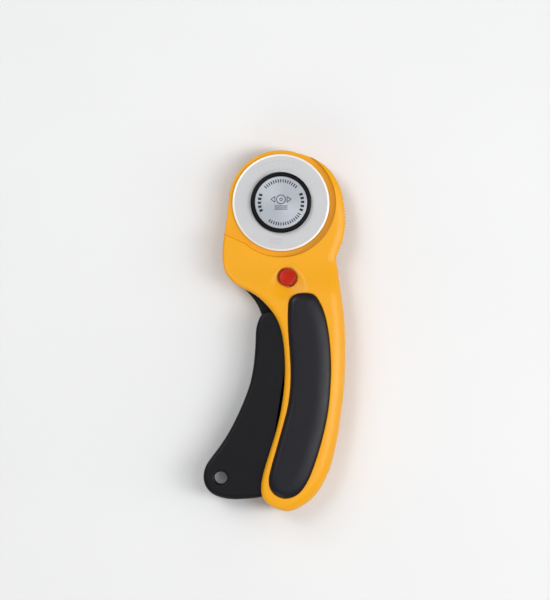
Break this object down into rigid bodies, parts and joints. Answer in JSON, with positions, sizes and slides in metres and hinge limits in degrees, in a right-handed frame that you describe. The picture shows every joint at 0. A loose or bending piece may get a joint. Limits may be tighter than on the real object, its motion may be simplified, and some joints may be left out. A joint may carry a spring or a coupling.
{
  "type": "rotary cutter",
  "caption": "Squeeze-lever rotary cutter: yellow handle shells with rubber grips, a round blade on a pivoting arm, a lever with a hang hole and a red lock button.",
  "frame": {"origin": "centre of the outline, on the surface that the cutter lies on", "axes": "the cutter lies on its back: +Y towards the head, +X towards the finger rest, +Z out of the blade face"},
  "size_m": [0.066, 0.1676, 0.022],
  "materials": {
    "yellow_shell": "satin moulded ABS",
    "black_grip": "matte elastomer",
    "black_nylon": "fine moulded texture",
    "black_flange": "smooth",
    "red_plastic": "satin",
    "blade_steel": "ground",
    "satin_aluminium": "satin",
    "zinc_steel": "zinc plated",
    "spring_steel": "bright",
    "brass_insert": "turned"
  },
  "bodies": {
    "handle": {"front_shell": "yellow_shell", "rear_shell": "yellow_shell", "front_grip": "black_grip", "rear_grip": "black_grip", "shell_screws": "zinc_steel", "pivot_pin": "zinc_steel", "return_spring": "spring_steel", "detent_ring": "spring_steel"},
    "lever": {"squeeze_lever": "black_nylon", "blade_arm": "black_nylon", "arm_rivets": "zinc_steel"},
    "lock": {"lock_button": "red_plastic", "lock_cap": "red_plastic"},
    "arbor": {"arbor_bolt": "zinc_steel", "clamp_flange": "black_flange", "face_disc": "satin_aluminium"},
    "blade_wheel": {"blade": "blade_steel"},
    "washer": {"tension_washer": "spring_steel"},
    "nut": {"nut_knob": "black_nylon", "nut_insert": "brass_insert"}
  },
  "joints": [
    {"name": "lever_squeeze", "type": "hinge", "parent": "handle", "child": "lever", "pos_m": [-0.01123, 0.02765, 0.011], "axis": [0, 0, 1], "range_deg": [0, 9], "stiffness_Nm_per_rad": 1.3, "springref_deg": -11.46},
    {"name": "lock_press", "type": "slide", "parent": "handle", "child": "lock", "axis": [0, 0, -1], "range_m": [0, 0.003]},
    {"name": "bolt_pull", "type": "slide", "parent": "lever", "child": "arbor", "axis": [0, 0, 1], "range_m": [0, 0.014]},
    {"name": "blade_spin", "type": "hinge", "parent": "arbor", "child": "blade_wheel", "pos_m": [0.00297, 0.05945, 0.0145], "axis": [0, 0, 1], "continuous": true},
    {"name": "washer_slide", "type": "slide", "parent": "lever", "child": "washer", "axis": [0, 0, -1], "range_m": [0, 0.00241]},
    {"name": "nut_turn", "type": "hinge", "parent": "washer", "child": "nut", "pos_m": [0.00297, 0.05945, 0.002], "axis": [0, 0, -1], "range_deg": [0, 1080]}
  ],
  "couplings": [
    {"joint": "washer_slide", "follows": "nut_turn", "m_per_rad": 0.00012732}
  ]
}
